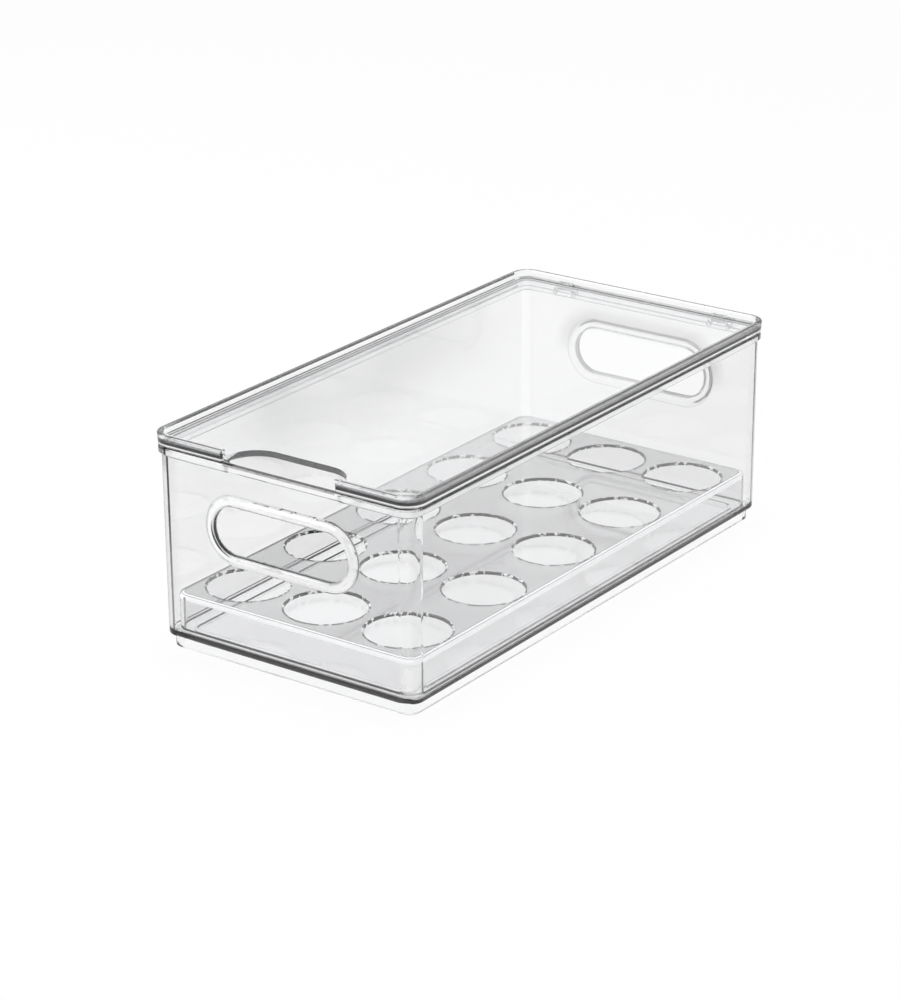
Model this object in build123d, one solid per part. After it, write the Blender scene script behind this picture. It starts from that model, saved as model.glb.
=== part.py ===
from build123d import *
import math
import os

# Egg keeper: a clear moulded bin with a hand slot in each end, a drop-in egg tray with
# round seats, and a flip lid on two snap hinges at the rear end.
# Millimetres. +Z up, X across the bin, Y along it, the lid's finger notch towards -Y.

# --- Driving dimensions ------------------------------------------------------------

# Bin body
BIN_WIDTH = 156.0        # outside the side walls, at the top edge
BIN_LENGTH = 320.0       # outside the end walls, at the top edge
BIN_HEIGHT = 107.2       # foot to top edge
BIN_CORNER = 8.5         # outside corner radius in plan
WALL = 2.0
WALL_DRAFT = 0.25        # degrees, walls lean in towards the base
BASE_ROUND = 0.9         # outside rounding where wall turns under to the foot
INNER_BEVEL = 1.0        # between the floor ledge and the walls

# Floor and stacking foot
FOOT_HEIGHT = 7.0        # base of the walls above the table
FOOT_INSET = 3.0         # foot ring inside the top outline
FOOT_WALL = 2.2
FOOT_BEVEL = 0.7
FLOOR = 2.2
PAN_INSET = 11.5         # edge of the shallow floor pan inside the top outline
PAN_DEPTH = 1.2
PAN_CORNER = 6.0

# Top flange
FLANGE_OUT = 1.6
FLANGE_HEIGHT = 4.0
FLANGE_BEVEL_TOP = 0.6
FLANGE_BEVEL_UNDER = 1.1

# Hand slots in the end walls
SLOT_WIDTH = 82.0
SLOT_HEIGHT = 25.6
SLOT_Z = 73.0
COLLAR_WIDTH = 6.0       # foot of the ring's outer slope, out from the slot
COLLAR_PROUD = 2.0
COLLAR_BEVEL = 0.9       # mouth of the slot
SLOT_BEVEL = 0.6         # inside mouth of the slot

# Egg tray
TRAY_SIDE_GAP = 1.6      # to the bin's side walls, at the floor
TRAY_END_GAP = 3.6       # to the bin's end walls, at the floor
TRAY_HEIGHT = 19.0
TRAY_CORNER = 8.0
TRAY_WALL = 1.6
DECK = 1.5
TRAY_ROUND = 1.6
SEAT_DIAMETER = 42.0
SEAT_BEVEL = 0.35
SEAT_ROWS = 5
SEAT_COLUMNS = 3
SEAT_PITCH_X = 49.0
SEAT_PITCH_Y = 62.5

# Lid
LID_OVERHANG = 0.4       # beyond the flange, all round
LID_LEAN = 0.5           # outer face leans in to its lower edge
PANEL = 3.2
RIM_RISE = 4.0           # rim above the panel
RIM_WIDTH = 3.2
RIM_ROUND_OUT = 1.0
RIM_BEVEL_IN = 0.9
RIM_BEVEL_UNDER = 1.0
PANEL_BEVEL = 0.7        # inside foot of the rim
SKIRT_GAP = 0.7          # plug skirt to the bin's inner wall
SKIRT_WALL = 1.6
SKIRT_DEPTH = 5.7
SKIRT_BEVEL = 0.4
NOTCH_WIDTH = 68.0
NOTCH_DEPTH = 21.5
NOTCH_CORNER = 17.0
NOTCH_END_BEVEL = 0.9    # where the notch meets the rim's outer face

# Snap hinges
HINGE_X = 50.0           # centre of each hinge
HINGE_PROUD = 0.95       # axis behind the lid's rear face
HINGE_DROP = 2.0         # axis below the bin's top edge
HINGE_SWING = 105.0      # degrees the lid opens
BAR_RADIUS = 1.25
BAR_FIT = 0.05           # radial running clearance of the clip on the bar
CLIP_WALL = 1.25
CLIP_WIDTH = 9.0
CLIP_SIDE_GAP = 0.4
CLIP_MOUTH = 116.0       # degrees of the clip left open, facing down
CLIP_ARM_RISE = 3.8      # how far the clip's arm climbs the rim's rear face
EAR_WIDTH = 2.2
EAR_RADIUS = 1.95
EAR_GUSSET = 3.4
STOP_GAP = 0.25          # heel to rear wall with the lid fully open
HEEL_HIGH = 0.6
HEEL_LOW = 2.2

# Slope of a hand slot's ring from the wall to its crest: shares of its width and height
COLLAR_SLOPE = ((0.13, 0.09), (0.12, 0.20), (0.11, 0.28), (0.09, 0.23), (0.12, 0.15), (0.12, 0.05))

# --- Derived sizes -----------------------------------------------------------------

SLOPE = math.tan(math.radians(WALL_DRAFT))
FLOOR_TOP = FOOT_HEIGHT + FLOOR
FLOOR_LEAN = (BIN_HEIGHT - FLOOR_TOP) * SLOPE
LID_WIDTH = BIN_WIDTH + 2 * (FLANGE_OUT + LID_OVERHANG)
LID_LENGTH = BIN_LENGTH + 2 * (FLANGE_OUT + LID_OVERHANG)
LID_CORNER = BIN_CORNER + FLANGE_OUT + LID_OVERHANG
PANEL_TOP = BIN_HEIGHT + PANEL
LID_TOP = PANEL_TOP + RIM_RISE

AXIS_Y = LID_LENGTH / 2 + HINGE_PROUD
AXIS_Z = BIN_HEIGHT - HINGE_DROP
CLIP_BORE = BAR_RADIUS + BAR_FIT
CLIP_RADIUS = CLIP_BORE + CLIP_WALL
HINGE_SLOT = CLIP_WIDTH + 2 * CLIP_SIDE_GAP
AXIS_TO_WALL = AXIS_Y - BIN_LENGTH / 2

# The rear skirt swings past the wall's inside top corner, so it needs at least this gap.
TO_INNER_WALL = AXIS_TO_WALL + WALL
SWING_GAP = math.hypot(TO_INNER_WALL, HINGE_DROP) - TO_INNER_WALL + 0.3
SKIRT_INSET = WALL + max(SKIRT_GAP, SWING_GAP)


def turned(y, z, degrees):
    """Point (y, z) about the hinge axis, turned anticlockwise as seen from +X."""
    a = math.radians(degrees)
    return (y * math.cos(a) - z * math.sin(a), y * math.sin(a) + z * math.cos(a))


# The heel's stop face stands parallel to the rear wall in the open position, so its
# corners are placed there and turned back to the closed position.
STOP_FACE = AXIS_TO_WALL - STOP_GAP
HEEL_UPPER = turned(-STOP_FACE, -HEEL_HIGH, HINGE_SWING)
HEEL_LOWER = turned(-STOP_FACE, -HEEL_LOW, HINGE_SWING)

# The origin is the bottom centre of the whole closed keeper, hinge clips included.
HINGE_REACH = HINGE_PROUD + max(CLIP_RADIUS, HEEL_LOWER[0])
TO_ORIGIN = Pos(0, -HINGE_REACH / 2, 0)


# --- Shared forms ------------------------------------------------------------------

def drafted(inset, bottom, top):
    """Block between two heights that follows the drafted walls."""
    lean = inset + (BIN_HEIGHT - top) * SLOPE
    plan = Pos(0, 0, top) * RectangleRounded(
        BIN_WIDTH - 2 * lean, BIN_LENGTH - 2 * lean, BIN_CORNER - lean
    )
    return extrude(plan, bottom - top, taper=WALL_DRAFT)


def block(width, length, radius, bottom, top):
    """Straight-sided rounded block between two heights."""
    plan = Pos(0, 0, bottom) * RectangleRounded(width, length, radius)
    return extrude(plan, top - bottom)


def eased(solid, direction, radius):
    """Solid carried on past its end face by two bevels, together close to a quarter round."""
    way = Axis((0, 0, 0), direction)
    rise = radius * math.sin(math.radians(45))
    steep = extrude(solid.faces().sort_by(way)[-1], rise, taper=22.5)
    shallow = extrude(steep.faces().sort_by(way)[-1], radius - rise, taper=67.5)
    return solid + steep + shallow


def low_edges(shape):
    return shape.edges().group_by(Axis.Z)[0]


def top_edges(shape):
    return shape.edges().group_by(Axis.Z)[-1]


def along_hinge(section, start, width):
    """Section drawn about the hinge axis (y, z), run in +X from start."""
    plane = Plane(origin=(start, AXIS_Y, AXIS_Z), x_dir=(0, 1, 0), z_dir=(1, 0, 0))
    return extrude(plane * section, width, dir=(1, 0, 0))


def end_plane(side, depth):
    """Sketch plane of a hand slot, facing outwards, depth inside the end wall's face."""
    y = side * (BIN_LENGTH / 2 - depth)
    return Plane(origin=(0, y, SLOT_Z), x_dir=(1, 0, 0), z_dir=(0, side, 0))


# --- Bin body ----------------------------------------------------------------------

def shell():
    """Drafted side and end walls with the floor plate."""
    outer = drafted(0, FOOT_HEIGHT + BASE_ROUND, BIN_HEIGHT)
    outer = eased(outer, (0, 0, -1), BASE_ROUND)
    inner = drafted(WALL, FLOOR_TOP, BIN_HEIGHT + 1)
    inner = chamfer(low_edges(inner), INNER_BEVEL)
    return outer - inner


def floor_pan():
    """Shallow central pan pressed down in the floor plate: (cut, plate under it)."""
    width = BIN_WIDTH - 2 * PAN_INSET
    length = BIN_LENGTH - 2 * PAN_INSET
    top = FLOOR_TOP - PAN_DEPTH
    cut = block(width, length, PAN_CORNER, top, FLOOR_TOP + 1)
    cut = chamfer(low_edges(cut), PAN_DEPTH / 2)
    under = block(
        width + FLOOR, length + FLOOR, PAN_CORNER + FLOOR / 2,
        FOOT_HEIGHT - PAN_DEPTH, FOOT_HEIGHT + FLOOR / 4,
    )
    return cut, under


def foot_ring():
    """Stacking foot: a thin ring that drops inside the rim of a lid below."""
    width = BIN_WIDTH - 2 * FOOT_INSET
    length = BIN_LENGTH - 2 * FOOT_INSET
    corner = BIN_CORNER - FOOT_INSET / 2
    outer = block(width, length, corner, 0, FOOT_HEIGHT + FLOOR / 2)
    inner = block(
        width - 2 * FOOT_WALL, length - 2 * FOOT_WALL, corner - FOOT_WALL / 2,
        -1, FOOT_HEIGHT + FLOOR,
    )
    ring = outer - inner
    return chamfer(low_edges(ring), min(FOOT_BEVEL, FOOT_WALL * 0.4))


def flange():
    """Outward flange round the top edge, open where the lid's clips hang."""
    grow = 2 * FLANGE_OUT
    bottom = BIN_HEIGHT - FLANGE_HEIGHT
    outer = block(
        BIN_WIDTH + grow, BIN_LENGTH + grow, BIN_CORNER + FLANGE_OUT, bottom, BIN_HEIGHT
    )
    outer = chamfer(top_edges(outer), min(FLANGE_BEVEL_TOP, FLANGE_HEIGHT * 0.4))
    outer = chamfer(low_edges(outer), min(FLANGE_BEVEL_UNDER, FLANGE_OUT * 0.85))
    inner = block(
        BIN_WIDTH - WALL, BIN_LENGTH - WALL, BIN_CORNER - WALL / 2,
        bottom - 1, BIN_HEIGHT + 1,
    )
    ring = outer - inner
    for x in (-HINGE_X, HINGE_X):
        y = BIN_LENGTH / 2 + FLANGE_OUT / 2
        ring -= Pos(x, y, bottom) * Box(HINGE_SLOT, FLANGE_OUT + WALL * 1.5, 4 * FLANGE_HEIGHT)
    return ring


def slot_cut(side):
    """Stadium that opens the hand slot through one end wall."""
    return extrude(end_plane(side, 3 * WALL) * SlotOverall(SLOT_WIDTH, SLOT_HEIGHT), 6 * WALL)


def slot_collar(side):
    """Ring that swells out of the end wall round the hand slot, hollow at its foot."""
    depth = WALL / 2
    grow = 2 * COLLAR_WIDTH
    outwards = Axis((0, 0, 0), (0, side, 0))
    ring = extrude(
        end_plane(side, depth) * SlotOverall(SLOT_WIDTH + grow, SLOT_HEIGHT + grow), depth
    )
    for inwards, rise in COLLAR_SLOPE:
        lean = math.degrees(math.atan2(inwards * COLLAR_WIDTH, rise * COLLAR_PROUD))
        face = ring.faces().sort_by(outwards)[-1]
        ring += extrude(face, rise * COLLAR_PROUD, taper=lean)
    ring -= slot_cut(side)
    face = ring.faces().sort_by(outwards)[-1]
    return chamfer(face.inner_wires()[0].edges(), COLLAR_BEVEL)


def slot_inner_edges(walls, side):
    """Edges of the hand slot on the inside face of one end wall."""
    found = []
    for edge in walls.edges():
        c = edge.center()
        depth = BIN_LENGTH / 2 - side * c.Y
        in_slot = abs(c.X) <= SLOT_WIDTH / 2 and abs(c.Z - SLOT_Z) <= SLOT_HEIGHT / 2 + 0.01
        if in_slot and WALL * 0.6 < depth < WALL * 2:
            found.append(edge)
    return found


def hinge_ears():
    """Two pairs of ears behind the flange, each pair carrying a round bar."""
    web = Polygon(
        (-AXIS_TO_WALL - WALL / 2, HINGE_DROP - 0.2),
        (-EAR_RADIUS / 3, HINGE_DROP - 0.2),
        (0, 0),
        (0, -EAR_RADIUS),
        (-AXIS_TO_WALL - WALL / 2, -EAR_RADIUS - EAR_GUSSET),
        align=None,
    )
    ear = Circle(EAR_RADIUS) + web
    half = HINGE_SLOT / 2
    overlap = EAR_WIDTH / 6
    pieces = []
    for x in (-HINGE_X, HINGE_X):
        pieces.append(along_hinge(ear, x - half - EAR_WIDTH, EAR_WIDTH))
        pieces.append(along_hinge(ear, x + half, EAR_WIDTH))
        pieces.append(
            along_hinge(Circle(BAR_RADIUS), x - half - overlap, HINGE_SLOT + 2 * overlap)
        )
    return pieces


def bin_body():
    walls = shell()
    for side in (-1, 1):
        walls -= slot_cut(side)
        walls = chamfer(slot_inner_edges(walls, side), min(SLOT_BEVEL, WALL * 0.4))
    cut, under = floor_pan()
    body = walls + flange() + foot_ring() + under
    for side in (-1, 1):
        body += slot_collar(side)
    for piece in hinge_ears():
        body += piece
    return body - cut


# --- Egg tray ----------------------------------------------------------------------

def egg_tray():
    """Inverted pan whose deck is pierced with round egg seats."""
    width = BIN_WIDTH - 2 * (WALL + FLOOR_LEAN + TRAY_SIDE_GAP)
    length = BIN_LENGTH - 2 * (WALL + FLOOR_LEAN + TRAY_END_GAP)
    top = FLOOR_TOP + TRAY_HEIGHT
    outer = block(width, length, TRAY_CORNER, FLOOR_TOP, top - TRAY_ROUND)
    outer = eased(outer, (0, 0, 1), TRAY_ROUND)
    inner = block(
        width - 2 * TRAY_WALL, length - 2 * TRAY_WALL, TRAY_CORNER - TRAY_WALL,
        FLOOR_TOP - 1, top - DECK,
    )
    tray = outer - inner
    radius = SEAT_DIAMETER / 2
    seat = Cylinder(radius, 4 * DECK) + Cone(radius, radius + 2 * SEAT_BEVEL, 2 * SEAT_BEVEL)
    for spot in GridLocations(SEAT_PITCH_X, SEAT_PITCH_Y, SEAT_COLUMNS, SEAT_ROWS):
        tray -= Pos(0, 0, top) * spot * seat
    return tray


# --- Lid ---------------------------------------------------------------------------

def lid_plate():
    """Panel with its raised rim; the outer face leans in slightly to its lower edge."""
    height = PANEL + RIM_RISE - RIM_ROUND_OUT
    lean = math.degrees(math.atan(LID_LEAN / height))
    shoulder = LID_TOP - RIM_ROUND_OUT
    plan = Pos(0, 0, shoulder) * RectangleRounded(LID_WIDTH, LID_LENGTH, LID_CORNER)
    plate = extrude(plan, -height, taper=lean)
    plate = chamfer(low_edges(plate), RIM_BEVEL_UNDER)
    return eased(plate, (0, 0, 1), RIM_ROUND_OUT) - lid_recess()


def lid_recess():
    """Space inside the rim, flared at the rim's top and bevelled at its foot."""
    width = LID_WIDTH - 2 * RIM_WIDTH
    length = LID_LENGTH - 2 * RIM_WIDTH
    corner = LID_CORNER - RIM_WIDTH
    recess = block(width, length, corner, PANEL_TOP, LID_TOP + RIM_RISE)
    recess = chamfer(low_edges(recess), PANEL_BEVEL)
    bevel = min(RIM_BEVEL_IN, (RIM_WIDTH - RIM_ROUND_OUT) * 0.9)
    mouth = Pos(0, 0, LID_TOP - bevel) * RectangleRounded(width, length, corner)
    return recess + extrude(mouth, 2 * bevel, taper=-45)


def skirt():
    """Plug skirt under the panel that keeps the closed lid on the bin."""
    width = BIN_WIDTH - 2 * SKIRT_INSET
    length = BIN_LENGTH - 2 * SKIRT_INSET
    corner = BIN_CORNER - SKIRT_INSET + 0.5
    bottom = BIN_HEIGHT - SKIRT_DEPTH
    outer = block(width, length, corner, bottom, BIN_HEIGHT + PANEL / 2)
    inner = block(
        width - 2 * SKIRT_WALL, length - 2 * SKIRT_WALL, max(corner - SKIRT_WALL, 1.0),
        bottom - 1, BIN_HEIGHT + PANEL,
    )
    ring = outer - inner
    ring = chamfer(low_edges(ring), min(SKIRT_BEVEL, SKIRT_WALL * 0.4))
    return ring & block(width, length, corner, bottom, BIN_HEIGHT + PANEL / 4)


def finger_notch():
    """Cut that opens rim, panel and skirt in the middle of the front edge."""
    front = -LID_LENGTH / 2
    plan = Pos(0, front, 0) * Rectangle(NOTCH_WIDTH, 2 * NOTCH_DEPTH)
    plan = fillet(plan.vertices(), NOTCH_CORNER)
    bottom = BIN_HEIGHT - 2 * SKIRT_DEPTH
    return extrude(Pos(0, 0, bottom) * plan, 2 * SKIRT_DEPTH + PANEL + 2 * RIM_RISE)


def notch_ends(lid):
    """Upright edges where the notch runs out through the rim's outer face."""
    found = []
    for edge in lid.edges():
        c = edge.center()
        at_notch = abs(abs(c.X) - NOTCH_WIDTH / 2) < RIM_WIDTH / 5
        at_face = abs(c.Y + LID_LENGTH / 2) < LID_LEAN + RIM_WIDTH / 5
        if at_notch and at_face and edge.length > PANEL:
            found.append(edge)
    return found


def clip_section():
    """C-clip with the arm that joins it to the rim and the heel that stops the lid."""
    half = math.radians(CLIP_MOUTH / 2)
    reach = 2 * CLIP_RADIUS
    across = reach * math.sin(half)
    mouth = Polygon(
        (0, 0), (-across, -reach * math.cos(half)), (-across, -2 * reach),
        (across, -2 * reach), (across, -reach * math.cos(half)),
        align=None,
    )
    lip = (CLIP_BORE + CLIP_WALL / 4) * math.sin(half)
    lip_z = -(CLIP_BORE + CLIP_WALL / 4) * math.cos(half)
    heel = Polygon(
        HEEL_UPPER, HEEL_LOWER, (CLIP_RADIUS, 0), (CLIP_BORE + CLIP_WALL / 2, 0), (lip, lip_z),
        align=None,
    )
    root = -HINGE_PROUD - RIM_WIDTH / 2
    arm = Polygon(
        (root, HINGE_DROP),
        (CLIP_BORE, CLIP_BORE / 2),
        (CLIP_RADIUS * math.cos(math.radians(25)), CLIP_RADIUS * math.sin(math.radians(25))),
        (-HINGE_PROUD - LID_LEAN / 4, HINGE_DROP + CLIP_ARM_RISE),
        (root, HINGE_DROP + CLIP_ARM_RISE),
        align=None,
    )
    return Circle(CLIP_RADIUS) - mouth + heel + arm - Circle(CLIP_BORE)


def lid():
    top = lid_plate() + skirt()
    top -= finger_notch()
    top = chamfer(notch_ends(top), NOTCH_END_BEVEL)
    section = clip_section()
    for x in (-HINGE_X, HINGE_X):
        top += along_hinge(section, x - CLIP_WIDTH / 2, CLIP_WIDTH)
    return top


# --- Output ------------------------------------------------------------------------

os.makedirs("parts", exist_ok=True)
for name, shape in (("bin_body", bin_body()), ("egg_tray", egg_tray()), ("lid", lid())):
    placed = TO_ORIGIN * shape
    placed.label = name
    export_step(placed, f"parts/{name}.step")
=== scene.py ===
import bpy
from mathutils import Matrix, Vector

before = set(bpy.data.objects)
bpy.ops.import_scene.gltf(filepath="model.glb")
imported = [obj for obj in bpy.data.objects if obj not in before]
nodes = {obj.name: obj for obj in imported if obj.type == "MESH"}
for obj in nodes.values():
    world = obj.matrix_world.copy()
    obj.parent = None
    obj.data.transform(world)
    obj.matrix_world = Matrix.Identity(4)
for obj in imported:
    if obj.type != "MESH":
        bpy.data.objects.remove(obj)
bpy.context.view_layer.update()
scene = bpy.context.scene

# --- Camera: placed where the photograph's perspective puts it ---------------------

CAMERA_AT = Vector((0.91364, -1.29541, 0.67038))
CAMERA_RIGHT = Vector((0.813568, 0.581444, -0.005488))
CAMERA_UP = Vector((-0.209747, 0.302258, 0.929864))
CAMERA_LENS = 117.99
SENSOR_HEIGHT = 36
CLIP = (0.01, 60)

data = bpy.data.cameras.new("camera")
data.sensor_fit = "VERTICAL"
data.sensor_height = SENSOR_HEIGHT
data.lens = CAMERA_LENS
data.clip_start, data.clip_end = CLIP
camera = bpy.data.objects.new("camera", data)
scene.collection.objects.link(camera)
back = CAMERA_RIGHT.cross(CAMERA_UP).normalized()
up = back.cross(CAMERA_RIGHT).normalized()
turn = Matrix((CAMERA_RIGHT.normalized(), up, back)).transposed().to_4x4()
camera.matrix_world = Matrix.Translation(CAMERA_AT) @ turn
scene.camera = camera
scene.view_settings.view_transform = "Standard"

# --- Measures of the solids, in metres, in the shared frame ------------------------

# A plan is half the width, half the length and the corner radius, seen from above.
SHIFT = -0.001887            # centre of the bin along Y
BIN_PLAN = (0.0780, 0.1600, 0.0085)
LID_PLAN = (0.0800, 0.1620, 0.0105)
TRAY_PLAN = (0.0740, 0.1540, 0.0080)
SPLIT = 0.1072               # top edge of the bin, underside of the lid
FLANGE = 0.1032              # lower edge of the bin's flange
SLOT_Z = 0.073
SLOT_STRAIGHT = 0.0282       # half the straight part of a hand slot
SLOT_RADIUS = 0.0128
DECK_TOP = 0.0282
SEAT_RADIUS = 0.021
SEAT_PITCH = (0.049, 0.0625)

# --- Painted light and shade in the clear plastic ----------------------------------

# Each step is 0 before its first value and 1 past its second.
STEPS = {
    # walls, by the distance outside an outline or past its straight part
    "outer_face": (-0.0019, -0.0012),
    "inner_face": (-0.0014, -0.0018),
    "ends": (-0.003, 0.003),
    "inner_wall": (0.0055, 0.0062),
    # corners of the bin
    "turned": (-0.001, 0.001),
    "one_side": (-0.00002, 0.00002),
    "corner_arc": (0.0006, 0.0016),
    "corner_shade": (-0.008, 0.001),
    "corner_high": (0.030, 0.075),
    "corner_top": (0.092, 0.100),
    "corner_pale": (0.0, 0.004),
    "corner_foot": (0.030, 0.024),
    # base, floor and walls of the bin
    "base_fade": (0.0128, 0.0092),
    "base_start": (0.0085, 0.0092),
    "floor_inside": (-0.003, -0.004),
    "floor_top": (0.0125, 0.0115),
    "above_floor": (0.0105, 0.013),
    "shade_high": (0.045, 0.095),
    "shade_front": (-0.150, -0.090),
    "shade_rear": (0.200, 0.020),
    "shade_patch": (0.75, 0.35),
    # hand slots
    "slot_ends": (0.1572, 0.1576),
    "slot_bore": (SLOT_RADIUS + 0.0009, SLOT_RADIUS + 0.0002),
    "ring_proud": (0.1603, 0.1606),
    "rear_half": (-0.001, 0.001),
    "halo_outer": (0.0290, 0.0175),
    "halo_inner": (0.0168, 0.0176),
    "halo_rear": (0.1540, 0.1550),
    "halo_high": (0.064, 0.084),
    # top edge of the bin
    "rear_end": (0.150, 0.152),
    "lip_out": (-0.0004, 0.0),
    "lip_high": (SPLIT - 0.0009, SPLIT - 0.0007),
    "lip_notch": (0.0342, 0.0338),
    "lip_front": (0.0, -0.01),
    # tray
    "seat_high": (DECK_TOP - 0.0022, DECK_TOP - 0.0018),
    "seat_gaps": (0.41, 0.48),
    "left_edge": (-0.0708, -0.0716),
    "edge_high": (DECK_TOP - 0.0030, DECK_TOP - 0.0024),
    "deck_high": (DECK_TOP - 0.0020, DECK_TOP - 0.0014),
    "tray_sole": (0.0101, 0.0097),
    "tray_wall": (-0.0022, -0.0018),
    "tray_corner_line_out": (-0.0004, -0.0002),
    # lid
    "rim_low": (SPLIT + 0.0024, SPLIT + 0.0027),
    "rim_top": (SPLIT + 0.0062, SPLIT + 0.0048),
    "crown": (SPLIT + 0.0043, SPLIT + 0.0053),
    "skirt": (SPLIT - 0.0003, SPLIT - 0.0006),
    "skirt_front": (-0.150, -0.152),
    "hem_low": (SPLIT - 0.0051, SPLIT - 0.0054),
    "hem_inside": (0.1584, 0.1580),
}

# Each band is 1 from its first value to its second, with soft edges of its third.
BANDS = {
    "base_line": (0.0069, 0.0095, 0.00015),
    "base_fine_line": (0.0066, 0.0072, 0.0001),
    "corner_line": (-0.0001, 0.0013, 0.0003),
    "slot_ring": (SLOT_RADIUS + 0.001, 0.0178, 0.0005),
    "slot_foot": (0.0180, 0.0187, 0.0002),
    "flange": (FLANGE + 0.0008, SPLIT - 0.0009, 0.0002),
    "rear_line": (FLANGE - 0.0004, FLANGE + 0.0001, 0.0001),
    "seat_ring": (SEAT_RADIUS - 0.0003, SEAT_RADIUS + 0.0009, 0.00015),
    "deck_edge": (-0.0024, 0.001, 0.0002),
    "deck_left_shade": (-0.0017, -0.0003, 0.0002),
    "outer_fine_line": (-0.0012, -0.0008, 0.0002),
    "inner_fine_line": (-0.0030, -0.0026, 0.0002),
    "tray_corner_line": (0.0, 0.0014, 0.0003),
    "lid_seam": (SPLIT, SPLIT + 0.0013, 0.0002),
    "lid_shine": (SPLIT + 0.0016, SPLIT + 0.0023, 0.0002),
    "skirt_end": (0.0338, 0.0352, 0.0003),
    "rim_foot": (-0.0052, -0.0022, 0.0002),
    "rim_foot_high": (SPLIT + 0.0030, SPLIT + 0.0040, 0.0001),
}

# Painted shade and painted light: factor by which each mark scales the plastic's tint,
# below 1 darker, above 1 lighter.
KEEP = {
    "base_line": 0.004,
    "base_fine_line": 0.12,
    "base_shade": 0.45,
    "corner_shade": 0.82,
    "corner_arc": 0.85,
    "corner_top": 0.5,
    "corner_line": 0.10,
    "corner_line_high": 0.02,
    "inner_sides": 0.40,
    "inner_ends": 0.90,
    "outer_sides": 0.90,
    "slot_bore": 0.42,
    "rear_bore": 0.3,
    "halo_shade": 0.70,
    "slot_foot": 0.7,
    "floor": 0.96,
    "rear_line": 0.4,
    "lip": 0.2,
    "seat_ring": 0.05,
    "fine_line": 0.3,
    "sole": 0.01,
    "tray_corner_line": 0.2,
    "left_edge_shade": 0.25,
    "tray_wall": 1.3,
    "rim": 0.11,
    "rim_side": 1.8,
    "crown": 0.25,
    "seam": 0.10,
    "seam_side": 4.0,
    "skirt_end": 0.05,
    "hem": 0.08,
    "rim_foot": 0.3,
}

# Painted light: share of the light that each mark scatters instead of letting it through,
# which whitens the plastic into painted highlights and bright bands. The tray's wall
# scatters less than the rest of the tray, so its share is below 0.
PAINTED_LIGHT = {
    "flange": 0.55,
    "rear_line": 0.7,
    "front_ring": 0.66,
    "rear_ring": 0.20,
    "corner": 0.10,
    "corner_foot": 0.55,
    "deck": 0.9,
    "tray_wall": -0.03,
    "shine": 0.85,
    "seam_side": 0.35,
}
BASE_DROP = 0.0009           # how much lower the base line lies on the sides than on the ends
LOW_SHADE = 0.25             # share of the inner walls' shade that reaches everywhere
SEAT_NOISE = 260.0           # scale of the noise that breaks the seats' dark lines
SHADE_NOISE = 9.0            # scale of the patches in the inner walls' shade


# --- Node helpers ------------------------------------------------------------------

def new_tree(name):
    mat = bpy.data.materials.new(name)
    mat.use_nodes = True
    mat.node_tree.nodes.clear()
    return mat, mat.node_tree


def node(tree, kind, **values):
    made = tree.nodes.new(kind)
    for key, value in values.items():
        setattr(made, key, value)
    return made


def math_node(tree, operation, *terms, **values):
    """Math node with its terms set or linked."""
    made = node(tree, "ShaderNodeMath", operation=operation, **values)
    for socket, term in zip(made.inputs, terms):
        if isinstance(term, (int, float)):
            socket.default_value = term
        else:
            tree.links.new(term, socket)
    return made.outputs[0]


def mixed(tree, factor, first, second):
    """Mix of two shaders: the first where the factor is 0, the second where it is 1."""
    made = node(tree, "ShaderNodeMixShader")
    for socket, source in zip(made.inputs, (factor, first, second)):
        tree.links.new(source, socket)
    return made.outputs["Shader"]


def ramp(tree, factor, stops):
    """Grey that follows the factor through the stops."""
    made = node(tree, "ShaderNodeValToRGB")
    elements = made.color_ramp.elements
    while len(elements) < len(stops):
        elements.new(0.5)
    for element, (place, grey) in zip(elements, stops):
        element.position = place
        element.color = (grey, grey, grey, 1)
    tree.links.new(factor, made.inputs["Fac"])
    return made.outputs["Color"]


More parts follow.
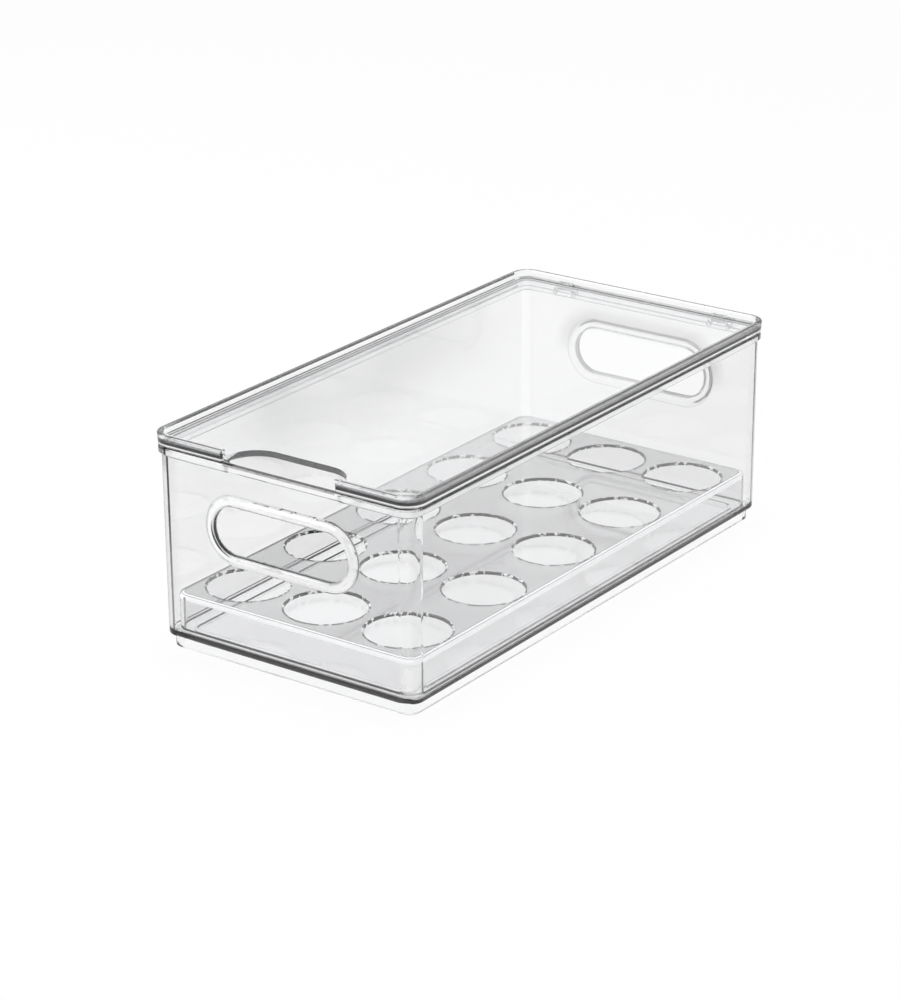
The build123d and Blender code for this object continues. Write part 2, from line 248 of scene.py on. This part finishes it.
class Sums:
    """Arithmetic on one node tree: every call adds nodes and gives their result."""

    def __init__(self, tree):
        self.tree = tree
        place = node(tree, "ShaderNodeTexCoord")
        self.place = place.outputs["Object"]
        split = node(tree, "ShaderNodeSeparateXYZ")
        tree.links.new(self.place, split.inputs[0])
        self.x, self.y, self.z = split.outputs
        self.along = self.do("SUBTRACT", self.y, SHIFT)
        geometry = node(tree, "ShaderNodeNewGeometry")
        # 1 where light enters the plastic, 0 where it leaves it
        self.entering = self.flip(geometry.outputs["Backfacing"])

    def do(self, operation, *terms):
        return math_node(self.tree, operation, *terms)

    def flip(self, mask):
        return self.do("SUBTRACT", 1.0, mask)

    def all(self, *factors):
        """Product of any number of factors."""
        product = factors[0]
        for factor in factors[1:]:
            product = self.do("MULTIPLY", product, factor)
        return product

    def any(self, *masks):
        """Largest of any number of masks."""
        largest = masks[0]
        for mask in masks[1:]:
            largest = self.do("MAXIMUM", largest, mask)
        return largest

    def length(self, a, b):
        squares = [self.do("MULTIPLY", term, term) for term in (a, b)]
        return self.do("SQRT", self.do("ADD", *squares))

    def off_pitch(self, value, pitch):
        """Distance from the nearest multiple of the pitch."""
        nearest = self.do("ROUND", self.do("DIVIDE", value, pitch))
        return self.do("SUBTRACT", value, self.do("MULTIPLY", nearest, pitch))

    def smooth(self, value, start, end):
        """0 before start, 1 past end, smooth between them. end may lie below start."""
        made = node(self.tree, "ShaderNodeMapRange", interpolation_type="SMOOTHSTEP")
        self.tree.links.new(value, made.inputs["Value"])
        rising = start < end
        made.inputs["From Min"].default_value = min(start, end)
        made.inputs["From Max"].default_value = max(start, end)
        made.inputs["To Min"].default_value = 0.0 if rising else 1.0
        made.inputs["To Max"].default_value = 1.0 if rising else 0.0
        return made.outputs["Result"]

    def step(self, value, name):
        return self.smooth(value, *STEPS[name])

    def band(self, value, name):
        low, high, soft = BANDS[name]
        rise = self.smooth(value, low - soft, low + soft)
        return self.do("MULTIPLY", rise, self.smooth(value, high + soft, high - soft))

    def blend(self, mask, off, on):
        """Number that is off where the mask is 0 and on where it is 1."""
        return self.do("MULTIPLY_ADD", mask, on - off, off)

    def keep(self, mask, name):
        """Factor that is 1 off the mask and the mark's factor of painted shade or light on it."""
        return self.blend(mask, 1.0, KEEP[name])

    def noise(self, scale, detail=2.0):
        made = node(self.tree, "ShaderNodeTexNoise")
        made.inputs["Scale"].default_value = scale
        made.inputs["Detail"].default_value = detail
        self.tree.links.new(self.place, made.inputs["Vector"])
        return made.outputs["Fac"]


# --- Where a point lies ------------------------------------------------------------

def plan_distances(k, half_x, half_y, corner):
    """How far out a point lies past the straight part of the sides and of the ends."""
    side = k.do("SUBTRACT", k.do("ABSOLUTE", k.x), half_x - corner)
    end = k.do("SUBTRACT", k.do("ABSOLUTE", k.along), half_y - corner)
    return side, end


def outline(k, plan):
    """Distance outside a rounded outline in plan, negative inside it."""
    side, end = plan_distances(k, *plan)
    far = k.length(k.do("MAXIMUM", side, 0.0), k.do("MAXIMUM", end, 0.0))
    within = k.do("MINIMUM", k.do("MAXIMUM", side, end), 0.0)
    return k.do("SUBTRACT", k.do("ADD", far, within), plan[2])


def outer_face(k, plan):
    """Mask of the outer side faces, for light that comes from outside only."""
    return k.all(k.step(outline(k, plan), "outer_face"), k.entering)


def ends_share(k, plan):
    """1 on the end walls, 0 on the side walls, blended round the corners."""
    side, end = plan_distances(k, *plan)
    return k.step(k.do("SUBTRACT", end, side), "ends")


def turned(k):
    """1 at the front left and rear right corners, 0 at the other two."""
    return k.step(k.do("MULTIPLY", k.x, k.along), "turned")


def one_side(k, side, end):
    """1 on the front and right walls' part of the turned corners, 0 everywhere else."""
    lean = k.do("MULTIPLY", k.x, k.do("SUBTRACT", side, end))
    return k.all(turned(k), k.step(lean, "one_side"))


# --- Painted light and shade of the bin --------------------------------------------

def painted_base_shade(k, face):
    """Painted shade: dark line and shade along the floor plate's edge, a little higher on the ends, doubled
    there.
    """
    at_end = ends_share(k, BIN_PLAN)
    level = k.do("MULTIPLY_ADD", at_end, -BASE_DROP, k.z)
    line = k.all(face, k.band(level, "base_line"))
    fine_line = k.all(face, at_end, k.band(k.z, "base_fine_line"))
    shade = k.all(face, k.step(level, "base_fade"), k.step(level, "base_start"))
    return k.all(k.keep(line, "base_line"), k.keep(fine_line, "base_fine_line"), k.keep(shade, "base_shade"))


def painted_corner_shade(k, face):
    """Painted shade: grey line and shade where the walls turn into two of the corners."""
    side, end = plan_distances(k, *BIN_PLAN)
    near = k.do("MINIMUM", k.do("MAXIMUM", side, 0.0), k.do("MAXIMUM", end, 0.0))
    turn = k.do("MINIMUM", side, end)
    here = k.all(face, one_side(k, side, end))
    line = k.all(here, k.band(turn, "corner_line"))
    shade = k.all(here, k.step(turn, "corner_shade"))
    arc = k.all(face, turned(k), k.step(near, "corner_arc"))
    line_high = k.all(line, k.step(k.z, "corner_high"))
    top = k.all(arc, k.step(k.z, "corner_top"))
    arcs = k.all(k.keep(shade, "corner_shade"), k.keep(arc, "corner_arc"), k.keep(top, "corner_top"))
    return k.all(arcs, k.keep(line, "corner_line"), k.keep(line_high, "corner_line_high"))


def pale_corners(k, face):
    """Painted light: the other two corners are whitened, more strongly at their foot."""
    side, end = plan_distances(k, *BIN_PLAN)
    near = k.do("MINIMUM", k.do("MAXIMUM", side, 0.0), k.do("MAXIMUM", end, 0.0))
    pale = k.all(face, k.step(near, "corner_pale"), k.flip(turned(k)))
    foot = k.step(k.z, "corner_foot")
    return k.all(pale, k.blend(foot, PAINTED_LIGHT["corner"], PAINTED_LIGHT["corner_foot"]))


def wall_shades(k, face):
    """Painted shade: the inside of the walls, and the side walls' outer faces, are darker; the inner side
    walls are darkest high up, in soft patches, away from the front and rear ends.
    """
    side, end = plan_distances(k, *BIN_PLAN)
    above = k.all(k.entering, k.step(k.z, "above_floor"))
    inside = k.all(above, k.step(outline(k, BIN_PLAN), "inner_face"))
    patch = k.step(k.noise(SHADE_NOISE, 1.0), "shade_patch")
    lengthwise = k.all(k.step(k.y, "shade_front"), k.step(k.y, "shade_rear"))
    deep = k.all(k.step(k.z, "shade_high"), lengthwise, patch)
    at_side = k.all(inside, k.step(side, "inner_wall"), k.blend(deep, LOW_SHADE, 1.0))
    at_end = k.all(inside, k.step(end, "inner_wall"))
    outer = k.all(face, k.flip(ends_share(k, BIN_PLAN)))
    return k.all(k.keep(at_side, "inner_sides"), k.keep(at_end, "inner_ends"), k.keep(outer, "outer_sides"))


def slot_light_and_shade(k):
    """Painted shade and light of the hand slots: grey bore, darker at the rear, a ring whitened as a
    painted highlight, a painted shade line at the ring's foot and a soft painted shade round the rear slot.
    """
    depth = k.do("ABSOLUTE", k.along)
    along = k.do("MAXIMUM", k.do("SUBTRACT", k.do("ABSOLUTE", k.x), SLOT_STRAIGHT), 0.0)
    gap = k.length(along, k.do("SUBTRACT", k.z, SLOT_Z))
    at_end = k.step(depth, "slot_ends")
    rear = k.step(k.y, "rear_half")
    bore = k.all(k.step(gap, "slot_bore"), at_end)
    round_slot = k.all(k.step(gap, "halo_outer"), k.step(gap, "halo_inner"))
    halo_shade = k.all(round_slot, k.step(k.y, "halo_rear"), k.step(k.z, "halo_high"))
    foot = k.all(k.band(gap, "slot_foot"), at_end, k.entering)
    bores = k.all(k.keep(bore, "slot_bore"), k.keep(k.all(bore, rear), "rear_bore"))
    ring = k.all(k.band(gap, "slot_ring"), k.step(depth, "ring_proud"), k.entering)
    painted_light = k.all(ring, k.blend(rear, PAINTED_LIGHT["front_ring"], PAINTED_LIGHT["rear_ring"]))
    return k.all(bores, k.keep(halo_shade, "halo_shade"), k.keep(foot, "slot_foot")), painted_light


def bin_light_and_shade(k):
    """Painted shade and painted light of the bin: base, corners, walls, slots, flange and top edge."""
    face = outer_face(k, BIN_PLAN)
    out = outline(k, BIN_PLAN)
    # painted light: a whiter band along the flange
    flange = k.all(face, k.band(k.z, "flange"))
    floor_plate = k.all(k.step(out, "floor_inside"), k.step(k.z, "floor_top"))
    # painted shade: dark lines under the rear flange and on the bin's top edge in the front notch; the rear
    # line is also whitened as painted light
    rear_line = k.all(k.step(out, "outer_face"), k.step(k.y, "rear_end"), k.band(k.z, "rear_line"))
    in_notch = k.all(k.step(k.do("ABSOLUTE", k.x), "lip_notch"), k.step(k.y, "lip_front"))
    lip = k.all(k.step(out, "lip_out"), k.step(k.z, "lip_high"), in_notch, k.entering)
    slot_shade, ring = slot_light_and_shade(k)
    # the tint here is painted shade of the base, corners, slots and walls
    tint = k.all(painted_base_shade(k, face), painted_corner_shade(k, face), slot_shade, wall_shades(k, face))
    edges = k.all(k.keep(rear_line, "rear_line"), k.keep(lip, "lip"))
    painted_light = k.any(
        k.do("MULTIPLY", flange, PAINTED_LIGHT["flange"]),
        k.do("MULTIPLY", rear_line, PAINTED_LIGHT["rear_line"]),
        ring,
        pale_corners(k, face),
    )
    return k.all(tint, k.keep(floor_plate, "floor"), edges), painted_light


# --- Painted light and shade of the tray -------------------------------------------

def seat_rings(k):
    """Painted shade line round each seat, and the small painted glints that break it."""
    across = k.off_pitch(k.x, SEAT_PITCH[0])
    along = k.off_pitch(k.along, SEAT_PITCH[1])
    gap = k.length(across, along)
    ring = k.all(k.band(gap, "seat_ring"), k.step(k.z, "seat_high"))
    broken = k.step(k.noise(SEAT_NOISE), "seat_gaps")
    return k.all(ring, broken), k.all(ring, k.flip(broken))


def tray_light_and_shade(k):
    """Painted shade and painted light of the tray: seats, the deck's edge with a painted highlight and
    painted shade lines, the lighter, clearer wall and its foot in painted shade.
    """
    dark_ring, glint = seat_rings(k)
    far = outline(k, TRAY_PLAN)
    side, end = plan_distances(k, *TRAY_PLAN)
    left = k.step(k.x, "left_edge")
    on_deck = k.all(k.step(k.z, "deck_high"), k.entering)
    # painted highlight: the deck's rounded edge is whitened, except on the left
    edge = k.all(k.band(far, "deck_edge"), k.step(k.z, "edge_high"), k.entering, k.flip(left))
    # painted shade: a dark line along the deck's left edge
    left_edge_shade = k.all(k.band(far, "deck_left_shade"), on_deck, left)
    # painted shade: two fine dark lines along the deck's edge
    fine_lines = k.do("ADD", k.band(far, "outer_fine_line"), k.band(far, "inner_fine_line"))
    # painted shade: the tray's foot is darkened nearly to black where light leaves it
    sole = k.all(k.step(k.z, "tray_sole"), k.flip(k.entering))
    wall = k.step(far, "tray_wall")
    # painted shade: a dark line at two of the tray's corners
    corner = k.band(k.do("MINIMUM", side, end), "tray_corner_line")
    tray_corner_line = k.all(one_side(k, side, end), corner, k.step(far, "tray_corner_line_out"))
    lines = k.all(k.keep(dark_ring, "seat_ring"), k.keep(k.all(on_deck, fine_lines), "fine_line"))
    rest = k.all(k.keep(sole, "sole"), k.keep(tray_corner_line, "tray_corner_line"), k.keep(left_edge_shade, "left_edge_shade"))
    painted_light = k.all(k.any(glint, edge, left_edge_shade), PAINTED_LIGHT["deck"])
    clearer = k.all(wall, k.flip(edge), PAINTED_LIGHT["tray_wall"])
    return k.all(lines, rest, k.keep(wall, "tray_wall")), k.do("ADD", painted_light, clearer)


# --- Painted light and shade of the lid --------------------------------------------

def lid_light_and_shade(k):
    """Painted shade and light of the lid: grey of the thick rim and the seam, a painted shine below the
    rim, and painted dark lines of skirt and panel.
    """
    face = outer_face(k, LID_PLAN)
    at_side = k.flip(ends_share(k, LID_PLAN))
    # painted shade: the rim is grey, lighter on the sides but darker at their crown
    rim = k.all(face, k.step(k.z, "rim_low"), k.step(k.z, "rim_top"))
    crown = k.all(face, at_side, k.step(k.z, "crown"))
    # painted highlight: a white shine line below the rim
    shine = k.all(face, k.band(k.z, "lid_shine"))
    # painted shade along the seam between lid and bin, lighter and whitened on the sides
    seam = k.all(face, k.band(k.z, "lid_seam"))
    # painted dark lines: the skirt's ends at the front, its hem, and the rim's inside foot at the rear
    across = k.band(k.do("ABSOLUTE", k.x), "skirt_end")
    skirt_end = k.all(k.step(k.z, "skirt"), across, k.step(k.along, "skirt_front"))
    hem = k.all(k.step(k.z, "hem_low"), k.step(k.do("ABSOLUTE", k.along), "hem_inside"))
    at_foot = k.all(k.band(outline(k, LID_PLAN), "rim_foot"), k.band(k.z, "rim_foot_high"))
    rim_foot = k.all(at_foot, k.step(k.y, "rear_end"), k.entering)
    rims = k.all(k.keep(rim, "rim"), k.keep(k.all(rim, at_side), "rim_side"), k.keep(crown, "crown"))
    seams = k.all(k.keep(seam, "seam"), k.keep(k.all(seam, at_side), "seam_side"))
    lines = k.all(k.keep(skirt_end, "skirt_end"), k.keep(hem, "hem"), k.keep(rim_foot, "rim_foot"))
    side_seam = k.all(seam, at_side, PAINTED_LIGHT["seam_side"])
    return k.all(rims, seams, lines), k.any(k.do("MULTIPLY", shine, PAINTED_LIGHT["shine"]), side_seam)


# --- Clear plastic -----------------------------------------------------------------

PLASTIC_IOR = 1.5
ROUGHNESS = 0.015
HAZE_SPREAD = (0.6, 1.4)     # roughness from thin to thick haze, as shares
HAZE_SCALE = 60.0
RIPPLE_SCALE, RIPPLE_STRENGTH, RIPPLE_DEPTH = 9.0, 0.02, 0.002
SHADOW_TINT = (0.97, 0.975, 0.98, 1)
# painted shade: the plastic's colour darkens where a surface is seen edge on, drawing dark outlines
EDGE_ON = [(0.0, 1.0), (0.70, 1.0), (0.84, 0.4), (1.0, 0.12)]


def ripples(k):
    """Normal of a moulded surface with very faint flow ripples."""
    bump = node(k.tree, "ShaderNodeBump")
    bump.inputs["Strength"].default_value = RIPPLE_STRENGTH
    bump.inputs["Distance"].default_value = RIPPLE_DEPTH
    k.tree.links.new(k.noise(RIPPLE_SCALE), bump.inputs["Height"])
    return bump.outputs["Normal"]


def base_colour(k, tint, level, painted_light):
    """Tint times the painted shade and light, darker where seen edge on as painted shade, raised to white
    where light is painted.
    """
    slant = node(k.tree, "ShaderNodeLayerWeight")
    slant.inputs["Blend"].default_value = 0.5
    dark = ramp(k.tree, slant.outputs["Facing"], EDGE_ON)
    colour = node(k.tree, "ShaderNodeVectorMath", operation="SCALE")
    colour.inputs[0].default_value = tint
    scale = k.all(level, dark, k.blend(painted_light, 1.0, 1.0 / tint[0]))
    k.tree.links.new(scale, colour.inputs["Scale"])
    return colour.outputs["Vector"]


def clear_plastic(name, tint, clear, absorb, density, painted_light_and_shade):
    mat, tree = new_tree(name)
    link = tree.links.new
    k = Sums(tree)
    # painted shade scales the tint, painted light whitens the plastic
    level, painted_light = painted_light_and_shade(k)
    shell = node(tree, "ShaderNodeBsdfPrincipled")
    shell.inputs["IOR"].default_value = PLASTIC_IOR
    thin, thick = (ROUGHNESS * share for share in HAZE_SPREAD)
    link(base_colour(k, tint, level, painted_light), shell.inputs["Base Color"])
    link(k.blend(painted_light, clear, 0.0), shell.inputs["Transmission Weight"])
    link(ripples(k), shell.inputs["Normal"])
    link(k.blend(k.noise(HAZE_SCALE), thin, thick), shell.inputs["Roughness"])
    # lamps shine through the walls, so that what is behind them is lit
    rays = node(tree, "ShaderNodeLightPath")
    open_way = node(tree, "ShaderNodeBsdfTransparent")
    open_way.inputs["Color"].default_value = SHADOW_TINT
    surface = mixed(tree, rays.outputs["Is Shadow Ray"], shell.outputs["BSDF"], open_way.outputs["BSDF"])
    body = node(tree, "ShaderNodeVolumeAbsorption")
    body.inputs["Color"].default_value = (*absorb, 1)
    body.inputs["Density"].default_value = density
    out = node(tree, "ShaderNodeOutputMaterial")
    link(surface, out.inputs["Surface"])
    link(body.outputs["Volume"], out.inputs["Volume"])
    return mat


# tint, share of clear plastic, colour and density of absorption, painted light and shade
LOOKS = {
    "bin_body": ("bin_clear", (0.985, 0.985, 0.988), 0.985, (0.55, 0.58, 0.60), 8, bin_light_and_shade),
    # painted shade: the tray's tint is far greyer than its clear plastic, so that its deck looks dimmer
    # inside the bin
    "egg_tray": ("tray_clear", (0.70, 0.70, 0.703), 0.98, (0.6, 0.62, 0.64), 10, tray_light_and_shade),
    "lid": ("lid_clear", (0.975, 0.976, 0.98), 0.95, (0.55, 0.58, 0.63), 8, lid_light_and_shade),
}
for name, look in LOOKS.items():
    mat = clear_plastic(*look)
    for slot in nodes[name].material_slots:
        slot.material = mat

# --- Studio ------------------------------------------------------------------------

FLOOR_HALF = 12.0
FLOOR_DROP = -0.0002         # just below the foot, so that the two don't fight
FLOOR_PAPER = (0.96, 0.96, 0.96, 1)
FLOOR_GLOW = 0.85            # share of plain white that the camera and clear plastic see
# Sky's grey by height: a dim belt between the horizon and the top gives the plastic contrast.
SKY = [(0.0, 1.0), (0.52, 1.0), (0.60, 0.3), (0.74, 0.3), (0.82, 1.0), (1.0, 1.0)]
AIM = (0, 0, 0.05)
SOFTBOXES = {
    "key": ((-0.9, -0.6, 1.5), 0.9, 9),
    "fill": ((1.3, 0.7, 1.2), 0.8, 4),
}


def floor_paper():
    """White paper that keeps the object's shadow and looks white by itself."""
    mat, tree = new_tree("floor_white")
    paper = node(tree, "ShaderNodeBsdfDiffuse")
    paper.inputs["Color"].default_value = FLOOR_PAPER
    glow = node(tree, "ShaderNodeEmission")
    glow.inputs["Strength"].default_value = 1.0
    rays = node(tree, "ShaderNodeLightPath").outputs
    seen = math_node(tree, "ADD", rays["Is Camera Ray"], rays["Is Glossy Ray"])
    seen = math_node(tree, "ADD", seen, rays["Is Transmission Ray"], use_clamp=True)
    share = math_node(tree, "MULTIPLY", seen, FLOOR_GLOW)
    out = node(tree, "ShaderNodeOutputMaterial")
    surface = mixed(tree, share, paper.outputs["BSDF"], glow.outputs["Emission"])
    tree.links.new(surface, out.inputs["Surface"])
    return mat


def add_floor():
    corners = [(-1, -1), (1, -1), (1, 1), (-1, 1)]
    mesh = bpy.data.meshes.new("floor")
    points = [(x * FLOOR_HALF, y * FLOOR_HALF, FLOOR_DROP) for x, y in corners]
    mesh.from_pydata(points, [], [(0, 1, 2, 3)])
    floor = bpy.data.objects.new("floor", mesh)
    scene.collection.objects.link(floor)
    floor.data.materials.append(floor_paper())


def add_sky():
    """World that the camera sees as plain white."""
    world = bpy.data.worlds.new("studio")
    scene.world = world
    world.use_nodes = True
    tree = world.node_tree
    tree.nodes.clear()
    sky = node(tree, "ShaderNodeBackground")
    plain = node(tree, "ShaderNodeBackground")
    plain.inputs["Color"].default_value = (1, 1, 1, 1)
    place = node(tree, "ShaderNodeTexCoord")
    split = node(tree, "ShaderNodeSeparateXYZ")
    tree.links.new(place.outputs["Generated"], split.inputs[0])
    tree.links.new(ramp(tree, split.outputs["Z"], SKY), sky.inputs["Color"])
    rays = node(tree, "ShaderNodeLightPath")
    out = node(tree, "ShaderNodeOutputWorld")
    seen = mixed(tree, rays.outputs["Is Camera Ray"], sky.outputs[0], plain.outputs[0])
    tree.links.new(seen, out.inputs["Surface"])


def softbox(name, at, size, power):
    lamp = bpy.data.lights.new(name, "AREA")
    lamp.shape = "SQUARE"
    lamp.size = size
    lamp.energy = power
    box = bpy.data.objects.new(name, lamp)
    box.location = at
    box.rotation_euler = (Vector(AIM) - Vector(at)).to_track_quat("-Z", "Y").to_euler()
    scene.collection.objects.link(box)


add_floor()
add_sky()
for name, (at, size, power) in SOFTBOXES.items():
    softbox(name, at, size, power)
